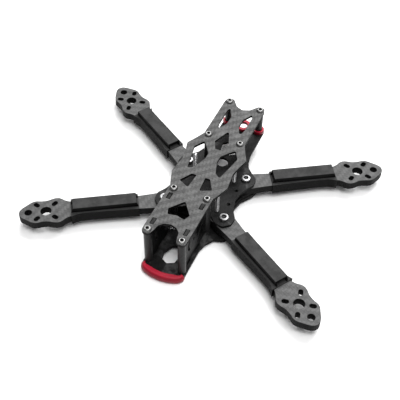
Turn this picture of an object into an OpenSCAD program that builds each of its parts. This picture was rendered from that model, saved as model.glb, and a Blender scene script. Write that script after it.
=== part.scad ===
// Bare 5 inch class racing quadcopter frame.
// Z = 0 is the lowest point, X = Y = 0 is the centre of the four motor positions.
// The nose points towards -Y. "left" is -X and "right" is +X, seen from the nose.

/* [Layout] */
// distance of each motor centre from the middle plane, across the frame
motor_x = 92.5; // [70:0.5:130]
// distance of each motor centre from the middle, along the frame
motor_y = 64; // [50:0.5:100]
// angle of each arm from the cross direction
arm_angle = 32.2; // [20:0.1:50]
// spacing of the flight stack screws, square pattern
stack_pitch = 30.5; // [20:0.5:35]
// half of the distance between the two rows of standoffs
post_x = 12.2; // [10:0.1:20]

/* [Thickness] */
// arm thickness
arm_t = 6; // [3:0.5:8]
// top plate thickness
top_t = 2; // [1.5:0.5:3]
// mid plate thickness
mid_t = 2; // [1.5:0.5:3]
// bottom plate thickness
bottom_t = 2.5; // [1.5:0.5:4]
// thickness of the brace plate between the bottom plate and the arms
brace_t = 2; // [1:0.5:3]
// camera side plate thickness
side_t = 2; // [1.5:0.5:3]
// clear height of the electronics bay
bay_h = 19; // [15:0.5:35]

/* [Motor mount] */
// diameter of the hole under the motor shaft
shaft_hole_d = 7.6; // [5:0.1:10]
// diameter of the ring on which the motor screws sit
motor_pcd = 17.6; // [12:0.1:20]
// width of each motor screw slot
slot_w = 3.2; // [2:0.1:4]
// end to end length of each motor screw slot
slot_l = 4.8; // [3:0.1:8]
// distance of the end hole beyond the motor centre
end_hole_s = 12.1; // [10:0.1:14]
// diameter of the end hole
end_hole_d = 5.2; // [3:0.1:7]

/* [Fasteners] */
// screw diameter used everywhere
screw_d = 3; // [2:0.5:4]
// clearance hole for that screw
clear_d = 3.2; // [2.2:0.1:4.4]
// button head diameter
head_d = 5.7; // [4:0.1:8]
// button head height
head_h = 1.65; // [1:0.05:3]
// hex socket size across the corners
socket_d = 2.31; // [1.5:0.01:4]
// hex socket depth
socket_h = 1.1; // [0.5:0.1:2]
// standoff diameter
post_d = 5.5; // [4:0.1:8]
// press nut flange diameter
nut_d = 6.6; // [5:0.1:9]
// press nut height above the plate
nut_h = 2; // [0.8:0.1:3]
// height of the stack screws above the mid plate
stack_h = 15; // [8:1:25]

/* [Arm guard] */
// half width of the raised cover
cap_half = 4.75; // [3:0.05:7]
// height of the raised cover above the arm
cap_h = 4.9; // [3:0.1:8]
// wall of the guard
guard_wall = 1; // [0.6:0.1:2]
// height of the wire channel
wire_h = 3.2; // [2:0.1:6]
// floor of the wire channel
channel_t = 0.6; // [0.4:0.1:2]

/* [Soft parts] */
// height of the nose bumper
bumper_h = 5.2; // [4.8:0.1:10]
// diameter of the antenna hole
antenna_d = 6.4; // [4:0.1:10]
// height of the antenna mount
antenna_h = 2.4; // [2:0.1:12]
// height of the collars of the antenna mount
collar_h = 3; // [2:0.1:15]

/* [Hidden] */
$fn = 48;
z_bottom = head_h;
z_floor = z_bottom + bottom_t;
z_arm = z_floor + brace_t;
z_mid = z_arm + arm_t;
z_deck = z_mid + mid_t;
z_top = z_deck + bay_h;
z_roof = z_top + top_t;
stack_half = stack_pitch / 2;
slot_r = motor_pcd / 2;
press_x = 22.5;
press_y = 20.2;
nose_y = -66.2;
bay_y = -26.7;
waist_y = 31.4;
tail_y = 70.8;
camera_y = -49;
camera_z = z_floor + 15;
side_x = 11.9;

// unit vector
function unit(v) = v / norm(v);

// one rounded corner b between its neighbours a and c
function corner(a, b, c, r, n) =
  let (
    u = unit(a - b),
    v = unit(c - b),
    half = acos(max(-1, min(1, u * v))) / 2,
    cut = min(r / tan(half), 0.46 * min(norm(a - b), norm(c - b))),
    q = cut * tan(half),
    m = b + unit(u + v) * q / sin(half),
    p = b + u * cut - m,
    w = b + v * cut - m,
    a0 = atan2(p[1], p[0]),
    d0 = atan2(w[1], w[0]) - a0,
    d = d0 > 180 ? d0 - 360 : (d0 < -180 ? d0 + 360 : d0)
  )
  half > 87 ? [b] : [for (i = [0:n]) m + q * [cos(a0 + d * i / n), sin(a0 + d * i / n)]];

// closed outline with every corner rounded
function rounded(p, r, n = 4) =
  [for (i = [0:len(p) - 1]) each corner(p[(i + len(p) - 1) % len(p)], p[i], p[(i + 1) % len(p)], r, n)];

// closed outline made smoother by cutting each corner once
function smooth(p) =
  [for (i = [0:len(p) - 1]) each
    [0.75 * p[i] + 0.25 * p[(i + 1) % len(p)], 0.25 * p[i] + 0.75 * p[(i + 1) % len(p)]]];

// half outline plus its mirror image across the Y axis
function both_x(p) = concat(p, [for (i = [len(p) - 1:-1:0]) if (abs(p[i][0]) > 0.01) [-p[i][0], p[i][1]]]);

// half outline plus its mirror image across the X axis, each point widened by g
function both_y(p, g = 0) =
  concat([for (q = p) [q[0], q[1] + g]], [for (i = [len(p) - 1:-1:0]) [p[i][0], -p[i][1] - g]]);

module plate(z, t) {
  translate([0, 0, z])
    linear_extrude(t)
      children();
}

module flip_x(sx) {
  if (sx < 0) mirror([1, 0, 0]) children();
  else children();
}

module flip_y(sy) {
  if (sy < 0) mirror([0, 1, 0]) children();
  else children();
}

module at_arm(sx, sy) {
  flip_x(sx)
    flip_y(sy)
      translate([motor_x, motor_y, 0])
        rotate(arm_angle)
          children();
}

module pair(x, y) {
  for (sx = [-1, 1]) translate([sx * x, y]) children();
}

module posts(d) {
  for (y = [nose_y, bay_y, waist_y, tail_y]) pair(post_x, y) circle(d = d);
}

module stack_holes(d) {
  for (sy = [-1, 1]) pair(stack_half, sy * stack_half) circle(d = d);
}

module press_holes(d) {
  for (sy = [-1, 1]) pair(press_x, sy * press_y) circle(d = d);
}

module slot(w, l) {
  square([l - w, w], center = true);
  for (s = [-1, 1]) translate([s * (l - w) / 2, 0]) circle(d = w);
}

module button_screw(shank, d = screw_d) {
  difference() {
    union() {
      cylinder(d = head_d, h = 0.5);
      translate([0, 0, 0.5]) cylinder(d1 = head_d, d2 = head_d * 0.62, h = head_h - 0.5);
    }
    translate([0, 0, head_h - socket_h]) cylinder(d = socket_d, h = socket_h + 1, $fn = 6);
  }
  translate([0, 0, -shank]) cylinder(d = d, h = shank);
}

module head_down_screw(shank, d = screw_d) {
  mirror([0, 0, 1]) button_screw(shank, d);
}

module standoff(sx, y, z0) {
  color([0.16, 0.16, 0.17])
    translate([sx * post_x, y, z0])
      difference() {
        cylinder(d = post_d, h = z_top - z0);
        translate([0, 0, -1]) cylinder(d = screw_d, h = z_top - z0 + 2);
      }
}

// ---------------------------------------------------------------- top plate

top_half = [
  [0, -56.2], [4.6, -57.6], [7.4, -60.6], [8.1, -64.5], [9.6, -69.4], [15.2, -69.4], [15.7, -64],
  [15.7, -25], [18.2, -18.5], [20.6, -12], [18.9, 2], [20.6, 10.5], [22.6, 17.6], [19, 24.5], [15.6, 32],
  [15.7, 70.4], [14.6, 74.2], [9.8, 74.4], [5.2, 68], [0, 65.8]
];
window_nose = [[0, -34.3], [7.8, -44.5], [6, -49.2], [0, -47.8], [-6, -49.2], [-7.8, -44.5]];
window_front = [[3.2, -9], [6.8, -9], [12, -18], [4.2, -21.8]];
window_long = [
  [12, 23.8], [16.4, 16.3], [14.9, 8.3], [12, -5.6], [7.8, -2.2], [4.4, 8.3], [4.4, 13.7], [8.2, 19.4]
];
window_kite = [[0, 40.8], [5.3, 27], [2, 19.8], [-2, 19.8], [-5.3, 27]];
window_rear = [[9, 64.6], [10, 60], [10, 46], [8.5, 39], [4.5, 48], [4.5, 56]];

module top_plate() {
  color([0.3, 0.3, 0.31])
    plate(z_top, top_t)
      difference() {
        polygon(rounded(both_x(top_half), 2.4));
        polygon(rounded(window_nose, 1));
        for (s = [-1, 1])
          flip_x(s) {
            polygon(rounded(window_front, 0.8));
            polygon(rounded(window_long, 1));
            polygon(rounded(window_rear, 1.2));
            translate([side_x, -58.4]) square([3, 5.8], center = true);
            translate([side_x, -34]) square([3, 5.8], center = true);
          }
        polygon(rounded(window_kite, 1));
        posts(clear_d);
      }
}

// ---------------------------------------------------------------- mid plate

mid_half = [
  [0, -13.5], [9.4, -14.2], [13, -21.8], [18.5, -26.6], [24.4, -27.6], [29, -23.5], [29.4, -17.2],
  [26, -11.5], [24, -5.5], [22.8, 0], [24, 5.5], [26.4, 11.5], [29.6, 17.2], [29, 23.5], [24.6, 27.2],
  [20, 31.8], [17.6, 38], [16.3, 46], [16.3, 73.5], [14, 75], [8.6, 75], [5.4, 70], [0, 67.6]
];
tail_window_front = [[0, 36.6], [6.4, 41], [7.4, 48], [0, 54], [-7.4, 48], [-6.4, 41]];
tail_window_rear = [[0, 57.4], [6.8, 60.4], [4.4, 64], [-4.4, 64], [-6.8, 60.4]];

module mid_plate() {
  color([0.2, 0.2, 0.21])
    plate(z_mid, mid_t)
      difference() {
        polygon(rounded(both_x(mid_half), 3));
        translate([0, 29.5]) circle(d = 9);
        polygon(rounded(tail_window_front, 1));
        polygon(rounded(tail_window_rear, 1));
        for (s = [-1, 1]) pair(20.4, s * 7) circle(d = 2.6);
        stack_holes(clear_d);
        press_holes(nut_d - 1.8);
        for (y = [waist_y, tail_y]) pair(post_x, y) circle(d = clear_d);
      }
}

// ---------------------------------------------------------------- bottom plate

bottom_half = [
  [0, -75.4], [6, -74.9], [11, -73.5], [14, -71.8], [15.2, -69], [15.1, -44.5], [16.7, -38.3], [20.4, -32.4],
  [26.4, -30.4], [31, -25], [29.6, -16.6], [24, -8], [22.4, 0], [24, 8], [29.6, 16.6], [31.4, 25],
  [27.5, 31], [18, 31.5], [12, 27], [6, 24.6], [0, 24.2]
];
floor_window = [
  [0, -64.6], [4.8, -62], [5.6, -56], [3, -49.5], [0, -48], [-3, -49.5], [-5.6, -56], [-4.8, -62]
];
floor_side = [[3.6, -33], [11.5, -37.5], [12, -32.5], [5, -25.5]];

module bottom_plate() {
  color([0.24, 0.24, 0.25])
    plate(z_bottom, bottom_t)
      difference() {
        polygon(rounded(both_x(bottom_half), 2.4));
        polygon(rounded(floor_window, 1));
        for (s = [-1, 1])
          flip_x(s) {
            polygon(rounded(floor_side, 0.8));
            translate([side_x, -58.4]) square([3, 5.8], center = true);
            translate([side_x, -43]) square([3, 5.8], center = true);
          }
        stack_holes(clear_d);
        press_holes(clear_d);
        for (y = [nose_y, bay_y]) pair(post_x, y) circle(d = clear_d);
      }
}

// ---------------------------------------------------------------- brace plate

brace_half = [
  [0, -21.5], [14.6, -22], [17.6, -26], [22.5, -28.6], [27.6, -28], [30.2, -23.6], [28.6, -16.4], [23.4, -8],
  [21.8, 0], [23.4, 8], [28.6, 16.4], [30.2, 23.6], [26.8, 29.2], [18.4, 29.6], [12.4, 25.6], [6, 23.4], [0, 23]
];

module brace_plate() {
  color([0.22, 0.22, 0.23])
    plate(z_floor, brace_t)
      difference() {
        polygon(rounded(both_x(brace_half), 2.4));
        stack_holes(clear_d);
        press_holes(clear_d);
      }
}

// ---------------------------------------------------------------- arms

arm_half = [
  [-103, 7.4], [-92, 7.9], [-83, 7.5], [-74, 6.7], [-64, 6.1], [-45, 5.5], [-30, 5.2], [-23, 5.3],
  [-18, 6.5], [-13.8, 8], [-10.4, 10.9], [-7.6, 11.5], [-4.6, 10.9], [-1.6, 9.6], [3, 9.5], [6.6, 10.2],
  [9.4, 9.5], [13, 6.9], [16.6, 4.3], [18.5, 1.6]
];

module arm(sx, sy) {
  color([0.28, 0.28, 0.29])
    plate(z_arm, arm_t)
      difference() {
        at_arm(sx, sy)
          difference() {
            polygon(smooth(both_y(arm_half)));
            circle(d = shaft_hole_d);
            translate([end_hole_s, 0]) circle(d = end_hole_d);
            for (a = [45:90:315]) rotate(a) translate([slot_r, 0]) slot(slot_w, slot_l);
          }
        translate([sx * stack_half, sy * stack_half]) circle(d = clear_d);
        translate([sx * press_x, sy * press_y]) circle(d = clear_d);
      }
}

module arm_front_left() { arm(-1, -1); }
module arm_front_right() { arm(1, -1); }
module arm_rear_left() { arm(-1, 1); }
module arm_rear_right() { arm(1, 1); }

// ---------------------------------------------------------------- arm guards

grip_half = [
  [-64.2, 6.1], [-45, 5.5], [-30, 5.2], [-23.5, 5.3], [-20, 6.1], [-17.2, 7.3]
];
cap_side = [[-64.2, 0], [-62.6, cap_h], [-18.8, cap_h], [-17.2, 0]];

module guard(sx, sy) {
  color([0.1, 0.1, 0.1])
    at_arm(sx, sy)
      difference() {
        union() {
          plate(z_arm - guard_wall, arm_t + 2 * guard_wall) polygon(both_y(grip_half, guard_wall));
          translate([0, cap_half, z_mid])
            rotate([90, 0, 0])
              linear_extrude(2 * cap_half) polygon(cap_side);
        }
        plate(z_arm, arm_t)
          difference() {
            polygon(smooth(both_y(arm_half)));
            translate([-104, -20]) square([38, 40]);
            translate([-13, -20]) square([38, 40]);
          }
        translate([-66, -cap_half + guard_wall, z_mid + channel_t])
          cube([54, 2 * (cap_half - guard_wall), wire_h]);
        translate([-66, -3.2, z_arm - 2]) cube([54, 6.4, 3]);
      }
}

module guard_front_left() { guard(-1, -1); }
module guard_front_right() { guard(1, -1); }
module guard_rear_left() { guard(-1, 1); }
module guard_rear_right() { guard(1, 1); }

// ---------------------------------------------------------------- camera side plates

side_outline = [
  [-63, z_floor], [-61.2, z_floor], [-61.2, z_bottom], [-55.6, z_bottom], [-55.6, z_floor], [-45.8, z_floor],
  [-45.8, z_bottom], [-40.2, z_bottom], [-40.2, z_floor], [-29.8, z_floor], [-29.8, z_top], [-31.2, z_top],
  [-31.2, z_roof], [-36.8, z_roof], [-36.8, z_top], [-55.6, z_top], [-55.6, z_roof], [-61.2, z_roof],
  [-61.2, z_top], [-63, z_top]
];

side_window_low = [[-44.5, 5], [-34, 5], [-34, 17]];
side_window_high = [[-44.5, 11], [-44.5, 25], [-34.5, 25], [-34.5, 22.5]];

module camera_plate(sx) {
  color([0.2, 0.2, 0.21])
    translate([sx * side_x - side_t / 2, 0, 0])
      rotate([90, 0, 90])
        linear_extrude(side_t)
          difference() {
            polygon(side_outline);
            translate([camera_y, camera_z]) circle(d = 2.2);
            for (a = [150:5:210])
              translate([camera_y + 8 * cos(a), camera_z + 8 * sin(a)]) circle(d = 2.2, $fn = 24);
            translate([0, z_floor]) polygon(rounded(side_window_low, 1));
            translate([0, z_floor]) polygon(rounded(side_window_high, 1));
          }
}

module camera_plate_left() { camera_plate(-1); }
module camera_plate_right() { camera_plate(1); }

// ---------------------------------------------------------------- standoffs

module standoff_nose_left() { standoff(-1, nose_y, z_floor); }
module standoff_nose_right() { standoff(1, nose_y, z_floor); }
module standoff_bay_left() { standoff(-1, bay_y, z_floor); }
module standoff_bay_right() { standoff(1, bay_y, z_floor); }
module standoff_waist_left() { standoff(-1, waist_y, z_deck); }
module standoff_waist_right() { standoff(1, waist_y, z_deck); }
module standoff_tail_left() { standoff(-1, tail_y, z_deck); }
module standoff_tail_right() { standoff(1, tail_y, z_deck); }

// ---------------------------------------------------------------- fasteners

module top_screws() {
  color([0.75, 0.75, 0.76])
    for (y = [nose_y, bay_y, waist_y, tail_y])
      for (sx = [-1, 1])
        translate([sx * post_x, y, z_roof]) button_screw(8);
}

module lower_screws() {
  color([0.15, 0.15, 0.15])
    for (sx = [-1, 1]) {
      for (y = [nose_y, bay_y]) translate([sx * post_x, y, z_bottom]) head_down_screw(8);
      for (y = [waist_y, tail_y]) translate([sx * post_x, y, z_mid]) head_down_screw(7);
    }
}

module arm_screws() {
  color([0.15, 0.15, 0.15])
    for (sx = [-1, 1])
      for (sy = [-1, 1])
        translate([sx * press_x, sy * press_y, z_bottom])
          head_down_screw(z_deck - z_bottom + nut_h - 0.5);
}

module press_nuts() {
  color([0.75, 0.75, 0.76])
    for (sx = [-1, 1])
      for (sy = [-1, 1])
        translate([sx * press_x, sy * press_y, z_mid])
          difference() {
            union() {
              cylinder(d = nut_d - 1.8, h = mid_t);
              translate([0, 0, mid_t]) cylinder(d = nut_d, h = nut_h);
            }
            translate([0, 0, -1]) cylinder(d = screw_d, h = mid_t + nut_h + 2);
          }
}

module stack_screws() {
  color([0.7, 0.7, 0.71])
    for (sx = [-1, 1])
      for (sy = [-1, 1])
        translate([sx * stack_half, sy * stack_half, z_bottom]) {
          head_down_screw(z_deck - z_bottom, screw_d - 0.1);
          translate([0, 0, z_deck - z_bottom]) cylinder(d = screw_d, h = stack_h);
        }
}

// ---------------------------------------------------------------- soft printed parts

bumper_out = [[0, -77.8], [6.2, -77.2], [12.4, -75.2], [15.5, -71.9], [16.1, -69.3]];
bumper_in = [[13.6, -69.3], [12.2, -70.5], [6, -71], [0, -71.2]];
bumper_c = [0, -60];

module bumper_ring(z, t, g) {
  plate(z, t)
    polygon(rounded(both_x(concat(
      [for (p = bumper_out) bumper_c + (p - bumper_c) * (1 - g / 17.8)], bumper_in)), 1.2, 2));
}

module nose_bumper() {
  color([0.77, 0.12, 0.23])
    difference() {
      union() {
        bumper_ring(0, 0.8, 0.8);
        bumper_ring(0.8, z_floor - 1.8, 0);
        bumper_ring(z_floor - 1, 1, 0.8);
        bumper_ring(z_floor, bumper_h - z_floor, 1.8);
      }
      plate(z_bottom, bottom_t) polygon(rounded(both_x(bottom_half), 2.4));
    }
}

module antenna_mount() {
  color([0.77, 0.12, 0.23])
    difference() {
      union() {
        for (sx = [-1, 1])
          translate([sx * post_x, tail_y, z_deck]) cylinder(d = post_d + 3, h = collar_h);
        plate(z_deck, antenna_h)
          difference() {
            translate([-post_x, tail_y - 2.6]) square([2 * post_x, 5.2]);
            posts(post_d + 1);
          }
        translate([0, tail_y, z_deck]) cylinder(d = antenna_d + 5, h = antenna_h);
      }
      for (sx = [-1, 1])
        translate([sx * post_x, tail_y, z_deck - 1]) cylinder(d = post_d, h = collar_h + 2);
      translate([0, tail_y, z_deck - 1]) cylinder(d = antenna_d, h = antenna_h + 2);
    }
}

top_plate();
mid_plate();
bottom_plate();
brace_plate();
arm_front_left();
arm_front_right();
arm_rear_left();
arm_rear_right();
guard_front_left();
guard_front_right();
guard_rear_left();
guard_rear_right();
camera_plate_left();
camera_plate_right();
standoff_nose_left();
standoff_nose_right();
standoff_bay_left();
standoff_bay_right();
standoff_waist_left();
standoff_waist_right();
standoff_tail_left();
standoff_tail_right();
top_screws();
lower_screws();
arm_screws();
press_nuts();
stack_screws();
nose_bumper();
antenna_mount();
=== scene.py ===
import math

import bpy
from mathutils import Matrix, Vector


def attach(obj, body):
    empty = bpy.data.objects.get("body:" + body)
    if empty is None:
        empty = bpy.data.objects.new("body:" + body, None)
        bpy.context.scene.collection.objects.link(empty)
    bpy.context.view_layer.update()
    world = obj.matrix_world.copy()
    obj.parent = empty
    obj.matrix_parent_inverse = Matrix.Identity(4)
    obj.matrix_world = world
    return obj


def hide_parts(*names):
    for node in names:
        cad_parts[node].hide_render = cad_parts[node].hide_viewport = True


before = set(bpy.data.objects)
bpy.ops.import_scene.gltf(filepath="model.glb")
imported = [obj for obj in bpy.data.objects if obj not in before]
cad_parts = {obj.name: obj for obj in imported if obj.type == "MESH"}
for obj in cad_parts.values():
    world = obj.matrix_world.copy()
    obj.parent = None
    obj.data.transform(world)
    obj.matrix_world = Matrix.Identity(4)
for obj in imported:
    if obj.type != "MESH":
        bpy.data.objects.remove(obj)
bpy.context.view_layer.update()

MM = 0.001
ARM_TOP = 12.15 * MM
ARM_TURN = math.radians(32.2)


# ---------------------------------------------------------------- node helpers

class Graph:
    """A short way to write a material's nodes."""

    def __init__(self, name):
        self.mat = bpy.data.materials.new(name)
        self.mat.use_nodes = True
        self.tree = self.mat.node_tree
        self.tree.nodes.clear()
        self.out = self.add("ShaderNodeOutputMaterial")
        self.shader = self.add("ShaderNodeBsdfPrincipled")
        self.link(self.shader.outputs["BSDF"], self.out.inputs["Surface"])

    def add(self, kind, **values):
        node = self.tree.nodes.new(kind)
        for key, value in values.items():
            setattr(node, key, value)
        return node

    def link(self, a, b):
        self.tree.links.new(a, b)

    def put(self, socket, value):
        if isinstance(value, bpy.types.NodeSocket):
            self.link(value, socket)
        else:
            socket.default_value = value

    def math(self, op, a, b=0.0, clamp=False):
        node = self.add("ShaderNodeMath", operation=op, use_clamp=clamp)
        self.put(node.inputs[0], a)
        self.put(node.inputs[1], b)
        return node.outputs[0]

    def blend(self, factor, a, b):
        node = self.add("ShaderNodeMix", data_type="FLOAT")
        self.put(node.inputs[0], factor)
        self.put(node.inputs[2], a)
        self.put(node.inputs[3], b)
        return node.outputs[0]

    def colour(self, factor, a, b):
        node = self.add("ShaderNodeMix", data_type="RGBA")
        self.put(node.inputs[0], factor)
        for socket, value in ((node.inputs[6], a), (node.inputs[7], b)):
            if isinstance(value, tuple):
                value = (*value, 1.0)
            self.put(socket, value)
        return node.outputs[2]

    def ramp(self, value, low, high):
        node = self.add("ShaderNodeMapRange", interpolation_type="SMOOTHSTEP")
        self.put(node.inputs["Value"], value)
        node.inputs["From Min"].default_value = low
        node.inputs["From Max"].default_value = high
        return node.outputs["Result"]

    def place(self, turn=0.0):
        """Object coordinates turned about Z, as three numbers in metres."""
        coords = self.add("ShaderNodeTexCoord").outputs["Object"]
        if turn:
            spin = self.add("ShaderNodeVectorRotate", rotation_type="Z_AXIS")
            self.link(coords, spin.inputs["Vector"])
            spin.inputs["Angle"].default_value = turn
            coords = spin.outputs["Vector"]
        split = self.add("ShaderNodeSeparateXYZ")
        self.link(coords, split.inputs[0])
        return coords, split.outputs

    def join(self, x, y, z):
        node = self.add("ShaderNodeCombineXYZ")
        for socket, value in zip(node.inputs, (x, y, z)):
            self.put(socket, value)
        return node.outputs[0]

    def noise(self, vector, scale, detail=3.0, rough=0.55):
        node = self.add("ShaderNodeTexNoise")
        self.link(vector, node.inputs["Vector"])
        node.inputs["Scale"].default_value = scale
        node.inputs["Detail"].default_value = detail
        node.inputs["Roughness"].default_value = rough
        return node.outputs[0]

    def normal(self):
        split = self.add("ShaderNodeSeparateXYZ")
        self.link(self.add("ShaderNodeTexCoord").outputs["Normal"], split.inputs[0])
        return split.outputs

    def edge_wear_and_highlight(self, low, high):
        """1 on convex edges, 0 on flats: a mask for edge wear, and for a painted edge highlight on turned
        metal.
        """
        return self.ramp(self.add("ShaderNodeNewGeometry").outputs["Pointiness"], low, high)

    def bump(self, height, distance, strength):
        node = self.add("ShaderNodeBump")
        node.inputs["Distance"].default_value = distance
        node.inputs["Strength"].default_value = strength
        self.put(node.inputs["Height"], height)
        return node.outputs[0]

    def finish(self, colour, rough, normal=None, metallic=0.0, **fixed):
        self.put(self.shader.inputs["Base Color"], colour)
        self.put(self.shader.inputs["Roughness"], rough)
        self.shader.inputs["Metallic"].default_value = metallic
        if normal is not None:
            self.link(normal, self.shader.inputs["Normal"])
        for key, value in fixed.items():
            self.shader.inputs[key.replace("_", " ")].default_value = value
        return self.mat


# ---------------------------------------------------------------- materials

TOW = 2.0 * MM
PLY = 0.25 * MM
PRINT_LAYER = 0.2 * MM
PRINT_ROAD = 0.42 * MM
COARSE_TURN = 0.12 * MM  # spacing of the rings a lathe leaves
FINE_TURN = 0.1 * MM


def carbon(name, dark, light, edge, turn=0.0, plane="XY"):
    """Twill carbon laminate: woven tows on the faces, stacked plies on the cut edges."""
    g = Graph(name)
    coords, at = g.place(turn)
    a, b, up = {"XY": (0, 1, 2), "YZ": (1, 2, 0)}[plane]
    u = g.math("DIVIDE", at[a], TOW)
    v = g.math("DIVIDE", at[b], TOW)
    fu = g.math("FRACT", u)
    fv = g.math("FRACT", v)
    phase = g.math("FLOORED_MODULO", g.math("SUBTRACT", g.math("FLOOR", u), g.math("FLOOR", v)), 4.0)
    over = g.math("LESS_THAN", phase, 1.5)
    hump_u = g.math("MULTIPLY", g.math("MULTIPLY", fu, g.math("SUBTRACT", 1.0, fu)), 4.0)
    hump_v = g.math("MULTIPLY", g.math("MULTIPLY", fv, g.math("SUBTRACT", 1.0, fv)), 4.0)
    hump = g.blend(over, hump_v, hump_u)
    along_v = g.noise(g.join(g.math("MULTIPLY", u, 9.0), g.math("MULTIPLY", v, 0.6), 0.0), 1.0, 2.0)
    along_u = g.noise(g.join(g.math("MULTIPLY", u, 0.6), g.math("MULTIPLY", v, 9.0), 4.0), 1.0, 2.0)
    fibre = g.blend(over, along_u, along_v)
    cloud = g.noise(coords, 160.0, 4.0, 0.6)
    patch = g.noise(coords, 900.0, 2.0, 0.5)
    tone = g.math("ADD", g.math("MULTIPLY", over, 0.22), g.math("MULTIPLY", fibre, 0.56))
    tone = g.math("ADD", tone, g.math("MULTIPLY", g.math("SUBTRACT", cloud, 0.5), 0.7))
    tone = g.math("ADD", tone, g.math("MULTIPLY", g.math("SUBTRACT", patch, 0.5), 0.5))
    tone = g.math("ADD", tone, g.math("MULTIPLY", g.math("SUBTRACT", hump, 0.6), 0.16), clamp=True)
    face = g.colour(tone, dark, light)

    layer = g.math("FRACT", g.math("DIVIDE", at[up], PLY))
    odd = g.math("FRACT", g.math("DIVIDE", at[up], 2.0 * PLY))
    stripe = g.math("MULTIPLY", g.ramp(g.math("ABSOLUTE", g.math("SUBTRACT", layer, 0.5)), 0.5, 0.25), 0.6)
    stripe = g.math("ADD", stripe, g.math("MULTIPLY", g.math("GREATER_THAN", odd, 0.5), 0.4))
    side = g.colour(stripe, edge, tuple(2.6 * c for c in edge))
    facing = g.math("ABSOLUTE", g.normal()[up])
    is_face = g.ramp(facing, 0.45, 0.75)
    colour = g.colour(is_face, side, face)
    scuff = g.math("MULTIPLY", g.edge_wear_and_highlight(0.53, 0.62), g.ramp(cloud, 0.42, 0.62))
    colour = g.colour(g.math("MULTIPLY", scuff, 0.22), colour, (0.2, 0.2, 0.2))

    rough = g.blend(is_face, 0.62, g.math("ADD", 0.36, g.math("MULTIPLY", cloud, 0.16)))
    weave = g.math("ADD", g.math("MULTIPLY", hump, 0.8), g.math("MULTIPLY", fibre, 0.35))
    height = g.blend(is_face, g.math("MULTIPLY", stripe, 0.6), weave)
    return g.finish(colour, rough, g.bump(height, 0.05 * MM, 0.55), Specular_IOR_Level=0.1)


def printed(name, dark, light, turn=0.0, rough=0.6, side_shade=1.0, shine=0.1):
    """Printed flexible plastic: stacked layers on the sides, laid roads on the top.

    A side factor below one darkens the sides' colour: painted shade, as the sides get less light than the
    top."""
    g = Graph(name)
    coords, at = g.place(turn)
    wobble = g.math("MULTIPLY", g.math("SUBTRACT", g.noise(coords, 700.0, 2.0), 0.5), 0.35)
    stack = g.math("FRACT", g.math("ADD", g.math("DIVIDE", at[2], PRINT_LAYER), wobble))
    stack = g.math("SINE", g.math("MULTIPLY", stack, math.pi))
    lane = g.math("FRACT", g.math("ADD", g.math("DIVIDE", at[0], PRINT_ROAD), wobble))
    lane = g.math("SINE", g.math("MULTIPLY", lane, math.pi))
    facing = g.math("ABSOLUTE", g.normal()[2])
    is_top = g.ramp(facing, 0.6, 0.9)
    ridge = g.blend(is_top, stack, lane)
    grain = g.noise(coords, 2600.0, 3.0, 0.6)
    cloud = g.noise(coords, 120.0, 4.0, 0.6)
    tone = g.math("ADD", g.math("MULTIPLY", ridge, 0.35), g.math("MULTIPLY", grain, 0.45))
    tone = g.math("ADD", tone, g.math("MULTIPLY", g.math("SUBTRACT", cloud, 0.5), 0.8), clamp=True)
    colour = g.colour(tone, dark, light)
    # Painted shade: the sides get the same colours scaled darker.
    shaded_side_dark, shaded_side_light = (tuple(c * side_shade for c in tint) for tint in (dark, light))
    shaded_sides = g.colour(g.math("MULTIPLY", tone, ridge), shaded_side_dark, shaded_side_light)
    colour = g.colour(is_top, shaded_sides, colour)
    rub = g.math("MULTIPLY", g.edge_wear_and_highlight(0.52, 0.6), g.ramp(cloud, 0.4, 0.6))
    colour = g.colour(g.math("MULTIPLY", rub, 0.25), colour, tuple(min(1.0, 1.6 * c) for c in light))
    height = g.math("ADD", g.math("MULTIPLY", ridge, 0.8), g.math("MULTIPLY", grain, 0.35))
    finish = g.math("ADD", rough, g.math("MULTIPLY", g.math("SUBTRACT", grain, 0.5), 0.2))
    return g.finish(colour, finish, g.bump(height, 0.05 * MM, 0.6), Specular_IOR_Level=shine)


def turned(name, dark, light, rough, pitch=COARSE_TURN, metallic=1.0, spec=0.5):
    """Lathe turned metal: fine rings round Z and small stains, with a painted highlight on convex edges and
    painted shade in sockets and bores.
    """
    g = Graph(name)
    coords, at = g.place()
    jitter = g.math("MULTIPLY", g.noise(coords, 500.0, 2.0), 0.8)
    ring = g.math("FRACT", g.math("ADD", g.math("DIVIDE", at[2], pitch), jitter))
    ring = g.math("SINE", g.math("MULTIPLY", ring, math.pi))
    stain = g.noise(coords, 420.0, 5.0, 0.65)
    tone = g.math("ADD", g.math("MULTIPLY", ring, 0.3), g.math("MULTIPLY", stain, 0.7), clamp=True)
    colour = g.colour(tone, dark, light)
    # Painted highlight: convex edges are lightened toward a brighter tint of the metal.
    shine = g.edge_wear_and_highlight(0.52, 0.6)
    painted_edge_highlight = tuple(min(1.0, 1.35 * c + 0.05) for c in light)
    colour = g.colour(g.math("MULTIPLY", shine, 0.5), colour, painted_edge_highlight)
    # Painted shade: faces marked on the mesh, inside sockets and bores, turn near black and matte.
    hollow_shade = g.add("ShaderNodeAttribute", attribute_name="hollow_shade").outputs["Fac"]
    colour = g.colour(hollow_shade, colour, (0.012, 0.012, 0.012))
    finish = g.math("ADD", rough, g.math("MULTIPLY", g.math("SUBTRACT", stain, 0.5), 0.22))
    finish = g.blend(hollow_shade, finish, 0.7)
    return g.finish(
        colour, finish, g.bump(ring, 0.012 * MM, 0.35), metallic=metallic, Specular_IOR_Level=spec
    )


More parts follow.
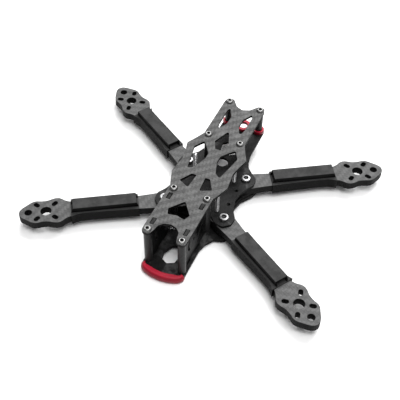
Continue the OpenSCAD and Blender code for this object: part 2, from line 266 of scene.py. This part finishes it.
PLATE_EDGE = (0.0015, 0.0015, 0.0015)
carbon_top = carbon("carbon_top", (0.026, 0.026, 0.026), (0.152, 0.152, 0.151), PLATE_EDGE)
# Painted shade: the mid, bottom and camera side plates use the top plate's carbon made darker, for the
# shade under and inside the frame.
carbon_mid = carbon("carbon_mid", (0.005, 0.005, 0.0051), (0.022, 0.022, 0.0222), PLATE_EDGE)
carbon_bottom = carbon("carbon_bottom", (0.003, 0.003, 0.003), (0.016, 0.016, 0.016), PLATE_EDGE)
carbon_side = carbon("carbon_side", (0.003, 0.003, 0.003), (0.014, 0.014, 0.014), PLATE_EDGE, plane="YZ")
carbon_arm = {}
black = {}
for way, turn in (("a", -ARM_TURN), ("b", ARM_TURN)):
    carbon_arm[way] = carbon(
        "carbon_arm_" + way, (0.048, 0.048, 0.048), (0.15, 0.15, 0.15), (0.002, 0.002, 0.002), turn)
    # The black plastic's sides get painted shade: their colour is scaled to 0.02.
    black[way] = printed("tpu_black_" + way, (0.01, 0.01, 0.01), (0.062, 0.062, 0.062), turn, side_shade=0.02)
# The red plastic's sides get painted shade: their colour is scaled to 0.6.
red = printed("tpu_red", (0.24, 0.002, 0.012), (0.56, 0.007, 0.04), rough=0.4, side_shade=0.6, shine=0.3)
anodised = turned(
    "standoff_anodised", (0.001, 0.001, 0.001), (0.004, 0.004, 0.0041), 0.3, metallic=0.0, spec=0.12)
steel = turned("screw_steel", (0.08, 0.08, 0.079), (0.26, 0.26, 0.257), 0.4, FINE_TURN)
stack = turned("stack_steel", (0.35, 0.35, 0.355), (0.8, 0.8, 0.81), 0.3, FINE_TURN)
bright = turned("nut_steel", (0.16, 0.16, 0.162), (0.42, 0.42, 0.425), 0.38, FINE_TURN)
blackened = turned("screw_black", (0.004, 0.004, 0.004), (0.02, 0.02, 0.0205), 0.6, metallic=0.0, spec=0.12)


# ---------------------------------------------------------------- meshes

def mesh_piece(name, verts, faces, material, node, hollow_shade=()):
    """Adds a mesh that stands in for a CAD node; its last argument lists the faces where the material
    paints shade.
    """
    data = bpy.data.meshes.new(name)
    data.from_pydata(verts, [], faces)
    data.update()
    inside = set(hollow_shade)
    mask = data.attributes.new("hollow_shade", "FLOAT", "FACE")
    mask.data.foreach_set("value", [1.0 if i in inside else 0.0 for i in range(len(faces))])
    piece = bpy.data.objects.new(name, data)
    bpy.context.scene.collection.objects.link(piece)
    for poly in data.polygons:
        poly.use_smooth = True
    data.set_sharp_from_angle(angle=math.radians(32))
    data.materials.append(material)
    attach(piece, "root")
    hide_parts(node)


def rings_to_mesh(rings, verts, faces):
    """Joins rings of equal length into a tube and closes its ends."""
    base = len(verts)
    count = len(rings[0])
    for ring in rings:
        verts.extend(ring)
    for k in range(len(rings) - 1):
        for i in range(count):
            j = (i + 1) % count
            faces.append((base + k * count + i, base + k * count + j,
                          base + (k + 1) * count + j, base + (k + 1) * count + i))
    faces.append(tuple(base + i for i in reversed(range(count))))
    faces.append(tuple(base + (len(rings) - 1) * count + i for i in range(count)))


def circle(centre, radius, z, count, hexagon=False):
    """One ring in the XY plane; a hexagon has that radius across its corners."""
    ring = []
    for i in range(count):
        t = 2 * math.pi * i / count
        r = radius
        if hexagon:
            r = radius * math.cos(math.pi / 6) / math.cos((t % (math.pi / 3)) - math.pi / 6)
        ring.append((centre[0] + r * math.cos(t), centre[1] + r * math.sin(t), z))
    return ring


HEAD_SIDES = 36
HEAD_R = 2.85 * MM
HEAD_H = 1.65 * MM
RIM_H = 0.38 * MM
CROWN_R = 1.68 * MM
CROWN_END = math.radians(74.5)
SOCKET_R = 1.3 * MM
SOCKET_RINGS = 2  # the last spans of head_rings, which line the socket
SHANK_SIDES = 18
SHANK_R = 1.46 * MM


def head_rings(centre, z, up):
    """Button head: flat rim, crowned dome and hex socket, from the seat to the socket's floor."""

    def ring(radius, height, hexagon=False):
        return circle(centre, radius, z + up * height, HEAD_SIDES, hexagon)

    rings = [ring(HEAD_R - 0.12 * MM, 0), ring(HEAD_R, 0.1 * MM), ring(HEAD_R, RIM_H)]
    for step in range(1, 8):
        t = math.radians(8 + step * 9.5)
        r = HEAD_R - (HEAD_R - CROWN_R) * (1 - math.cos(t)) / (1 - math.cos(CROWN_END))
        rings.append(ring(r, RIM_H + (HEAD_H - RIM_H) * math.sin(t) / math.sin(CROWN_END)))
    rings.append(ring(1.5 * MM, HEAD_H))
    rings.append(ring(SOCKET_R * 1.06, HEAD_H - 0.06 * MM, True))
    rings.append(ring(SOCKET_R, HEAD_H - 0.16 * MM, True))
    rings.append(ring(SOCKET_R, HEAD_H - 1.0 * MM, True))
    rings.append(ring(SOCKET_R * 0.3, HEAD_H - 1.25 * MM))
    return rings


def thread_rings(centre, z0, z1, radius=1.5 * MM, pitch=0.5 * MM, depth=0.27 * MM):
    """Real M3 thread from z0 to z1, with a bevelled tip at z1."""
    step = pitch / 6
    total = int(abs(z1 - z0) / step)
    way = 1 if z1 > z0 else -1
    rings = []
    for k in range(total + 1):
        z = z0 + way * k * step
        tip = max(0.0, 1 - (total - k) / 6) * 0.35 * MM
        ring = []
        for i in range(SHANK_SIDES):
            t = 2 * math.pi * i / SHANK_SIDES
            f = ((z - z0) / pitch - t / (2 * math.pi)) % 1.0
            r = radius - depth * abs(2 * f - 1) - tip
            ring.append((centre[0] + r * math.cos(t), centre[1] + r * math.sin(t), z))
        rings.append(ring)
    return rings


def screws(name, places, material, node):
    """Each place is (x, y, z of the seat, 1 or -1 for the head's side, shank length, threaded) in mm."""
    verts, faces, hollow_shade = [], [], []
    for x, y, z, up, shank, threaded in places:
        centre = (x * MM, y * MM)
        rings = head_rings(centre, z * MM, up)
        if up < 0:
            rings = [ring[::-1] for ring in rings]
        rings_to_mesh(rings, verts, faces)
        socket_floor = len(faces) - 1
        seat_face = socket_floor - 1
        # The socket's walls and floor get painted shade.
        hollow_shade.extend(range(seat_face - SOCKET_RINGS * HEAD_SIDES, seat_face))
        hollow_shade.append(socket_floor)
        seat = (z + 0.05 * up) * MM
        far = (z - up * shank) * MM
        if threaded:
            body = thread_rings(centre, seat, far)
        else:
            body = [circle(centre, SHANK_R, h, SHANK_SIDES) for h in (seat, far + 0.3 * MM * up)]
            body.append(circle(centre, 1.2 * MM, far, SHANK_SIDES))
        if far < seat:
            body = [ring[::-1] for ring in body]
        rings_to_mesh(body, verts, faces)
    mesh_piece(name, verts, faces, material, node, hollow_shade)


def lathe(name, places, profile, material, node, count=40, bore=()):
    """Closed profile of (radius, height) in mm, turned about each place (x, y, z) in mm.

    bore lists the profile steps that line a hole; their faces get painted shade."""
    verts, faces, hollow_shade = [], [], []
    for x, y, z in places:
        base = len(verts)
        for r, h in profile:
            verts.extend(circle((x * MM, y * MM), r * MM, (z + h) * MM, count))
        steps = len(profile)
        for k in range(steps):
            n = (k + 1) % steps
            if k in bore:
                hollow_shade.extend(range(len(faces), len(faces) + count))
            for i in range(count):
                j = (i + 1) % count
                faces.append((base + k * count + i, base + k * count + j,
                              base + n * count + j, base + n * count + i))
    mesh_piece(name, verts, faces, material, node, hollow_shade)


# Places and lengths in mm, the same as in the part's source. ROWS holds the y of each standoff row,
# STACK the x and y of the long flight stack screws, PRESS_X and PRESS_Y those of the press nuts.
SIDES = (-1, 1)
POST_X = 12.2
ROWS = {"nose": -66.2, "bay": -26.7, "waist": 31.4, "tail": 70.8}
Z_BOTTOM, Z_FLOOR, Z_MID, Z_DECK, Z_TOP, Z_ROOF = 1.65, 4.15, 12.15, 14.15, 33.15, 35.15
STACK = 15.25
PRESS_X, PRESS_Y = 22.5, 20.2
TOP_SHANK, LOWER_SHANK, TAIL_SHANK, ARM_SHANK, STACK_SHANK = 8, 8, 7, 13.9, 27.4

for row, y in ROWS.items():
    foot = Z_FLOOR if row in ("nose", "bay") else Z_DECK
    tall = Z_TOP - foot
    for side, word in zip(SIDES, ("left", "right")):
        profile = [(1.6, 0), (2.4, 0), (2.75, 0.35), (2.75, tall - 0.35), (2.4, tall), (1.6, tall),
                   (1.35, tall - 0.3), (1.35, 0.3)]
        lathe("post_" + row + "_" + word, [(side * POST_X, y, foot)], profile, anodised,
              "standoff_" + row + "_" + word)

screws("top_screw_set",
       [(s * POST_X, y, Z_ROOF, 1, TOP_SHANK, False) for y in ROWS.values() for s in SIDES],
       steel, "top_screws")
LOWER_SEATS = {"nose": (Z_BOTTOM, LOWER_SHANK), "bay": (Z_BOTTOM, LOWER_SHANK),
               "waist": (Z_MID, TAIL_SHANK), "tail": (Z_MID, TAIL_SHANK)}
screws("lower_screw_set",
       [(s * POST_X, ROWS[row], seat, -1, shank, False) for s in SIDES
        for row, (seat, shank) in LOWER_SEATS.items()],
       blackened, "lower_screws")
screws("arm_screw_set",
       [(s * PRESS_X, t * PRESS_Y, Z_BOTTOM, -1, ARM_SHANK, True) for s in SIDES for t in SIDES],
       blackened, "arm_screws")
screws("stack_screw_set",
       [(s * STACK, t * STACK, Z_BOTTOM, -1, STACK_SHANK, True) for s in SIDES for t in SIDES],
       stack, "stack_screws")
nut = [(1.5, 0.2), (1.9, 0), (2.4, 0), (2.4, 2), (3.2, 2), (3.3, 2.12), (3.3, 3.5), (2.95, 3.93),
       (2.6, 4), (1.8, 4), (1.65, 3.8), (1.5, 3.5)]
# The nut's bore gets painted shade.
lathe("press_nut_set", [(s * PRESS_X, t * PRESS_Y, Z_MID) for s in SIDES for t in SIDES],
      nut, bright, "press_nuts", 48, (9, 10, 11))


def swept(name, path, section, material, node):
    """Carries section(share), a closed ring of (outward, z) in mm, along a path in the XY plane."""
    verts, faces, rings = [], [], []
    for k, (x, y) in enumerate(path):
        x0, y0 = path[max(0, k - 1)]
        x1, y1 = path[min(len(path) - 1, k + 1)]
        size = math.hypot(x1 - x0, y1 - y0)
        nx, ny = (y1 - y0) / size, -(x1 - x0) / size
        share = k / (len(path) - 1)
        rings.append([((x + nx * o) * MM, (y + ny * o) * MM, z * MM) for o, z in section(share)])
    rings_to_mesh(rings, verts, faces)
    mesh_piece(name, verts, faces, material, node)


def arc_path(points, count):
    """Smooth path through the points (Catmull-Rom)."""
    path = []
    for i in range(len(points) - 1):
        p0, p1 = points[max(0, i - 1)], points[i]
        p2, p3 = points[i + 1], points[min(len(points) - 1, i + 2)]
        for k in range(count):
            t = k / count
            path.append(tuple(
                0.5 * (2 * b + (c - a) * t + (2 * a - 5 * b + 4 * c - d) * t * t
                       + (3 * b - a - 3 * c + d) * t ** 3)
                for a, b, c, d in zip(p0, p1, p2, p3)))
    path.append(points[-1])
    return path


def bumper_section(share):
    """Lip over the plate edge, sloping top, ridge and rounded front; thinner near both ends."""
    end = min(share, 1 - share) * 16
    full = min(1.0, 0.35 + 0.65 * end)
    deep = 2.6 + 2.2 * min(1.0, end / 5)
    ring = [(-deep, 4.2), (-deep, 4.9), (-deep + 0.3, 5.15)]
    for o, z in ((-1.75, 5.15), (-1.35, 5.0), (-0.62, 4.1), (-0.28, 3.5), (-0.06, 2.8), (-0.02, 2.0),
                 (-0.12, 1.2), (-0.5, 0.5), (-1.1, 0.15)):
        ring.append((o * (2 - full), z))
    ring += [(-deep + 0.2, 0.1), (-deep, 0.3), (-deep, 1.6), (-1.6, 1.6), (-1.6, 4.2)]
    return ring


half_path = [(0, -77.75), (3.2, -77.5), (6.3, -77.05), (9.4, -76.15), (12.3, -75.0), (14.2, -73.6),
             (15.4, -71.8), (15.95, -69.9)]
whole_path = [(-x, y) for x, y in reversed(half_path)] + half_path[1:]
swept("bumper_smooth", arc_path(whole_path, 5), bumper_section, red, "nose_bumper")


def dress(node, material, width, segments=2):
    """Gives a CAD node its material and small edge rounds."""
    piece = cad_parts[node]
    for place in piece.material_slots:
        place.material = material
    weld = piece.modifiers.new("weld", "WELD")
    weld.merge_threshold = 0.002 * MM
    edge = piece.modifiers.new("edge", "BEVEL")
    edge.width = width
    edge.segments = segments
    edge.limit_method = "ANGLE"
    edge.angle_limit = math.radians(40)
    edge.harden_normals = True


for node, material in (("top_plate", carbon_top), ("mid_plate", carbon_mid),
                       ("bottom_plate", carbon_bottom), ("brace_plate", carbon_bottom)):
    dress(node, material, 0.18 * MM)
for word in ("left", "right"):
    dress("camera_plate_" + word, carbon_side, 0.12 * MM)
for place, way in (("front_left", "a"), ("rear_right", "a"), ("front_right", "b"), ("rear_left", "b")):
    dress("arm_" + place, carbon_arm[way], 0.2 * MM)
    dress("guard_" + place, black[way], 0.35 * MM, 3)
dress("antenna_mount", red, 0.5 * MM, 3)


# ---------------------------------------------------------------- stage, light, camera

FLOOR_HALF = 6.0
FLOOR_Z = -0.05 * MM


def stage_floor():
    data = bpy.data.meshes.new("floor")
    corners = [(x * FLOOR_HALF, y * FLOOR_HALF, 0) for x, y in ((-1, -1), (1, -1), (1, 1), (-1, 1))]
    data.from_pydata(corners, [], [(0, 1, 2, 3)])
    floor = bpy.data.objects.new("floor", data)
    bpy.context.scene.collection.objects.link(floor)
    floor.location = (0, 0, FLOOR_Z)
    g = Graph("floor_paper")
    paper = g.colour(g.noise(g.place()[0], 6.0, 2.0), (0.92, 0.92, 0.92), (0.95, 0.95, 0.95))
    data.materials.append(g.finish(paper, 0.9, Specular_IOR_Level=0.1))


def area_light(name, place, size, power):
    """A lamp that looks at the origin."""
    data = bpy.data.lights.new(name, "AREA")
    data.shape = "RECTANGLE"
    data.size, data.size_y = size
    data.energy = power
    lamp = bpy.data.objects.new(name, data)
    bpy.context.scene.collection.objects.link(lamp)
    lamp.location = place
    lamp.rotation_euler = (-Vector(place)).to_track_quat("-Z", "Y").to_euler()


stage_floor()
area_light("key_back", (-0.05, 0.75, 1.05), (1.1, 0.7), 20)
area_light("overhead", (0.3, -0.22, 1.35), (1.0, 1.0), 18)

world = bpy.data.worlds.new("studio")
world.use_nodes = True
sky = world.node_tree.nodes["Background"]
sky.inputs["Color"].default_value = (1.0, 1.0, 1.0, 1.0)
sky.inputs["Strength"].default_value = 0.21
bpy.context.scene.world = world
bpy.context.scene.view_settings.view_transform = "Standard"

AZIMUTH = math.radians(23.28)
ELEVATION = math.radians(47.9)
ROLL = math.radians(1.13)
DISTANCE = 0.5525
LENS = 70.82
SENSOR = 36
TARGET = Vector((0.0, -0.01, ARM_TOP))

back = Vector((math.sin(AZIMUTH) * math.cos(ELEVATION), -math.cos(AZIMUTH) * math.cos(ELEVATION),
               math.sin(ELEVATION)))
right = Vector((math.cos(AZIMUTH), math.sin(AZIMUTH), 0))
up = back.cross(right)
turned_right = right * math.cos(ROLL) + up * math.sin(ROLL)
turned_up = up * math.cos(ROLL) - right * math.sin(ROLL)
camera_data = bpy.data.cameras.new("camera")
camera_data.sensor_width = SENSOR
camera_data.lens = LENS
camera_data.clip_start = 0.01
camera = bpy.data.objects.new("camera", camera_data)
bpy.context.scene.collection.objects.link(camera)
facing = Matrix((turned_right, turned_up, back)).transposed().to_4x4()
camera.matrix_world = Matrix.Translation(TARGET + back * DISTANCE) @ facing
bpy.context.scene.camera = camera
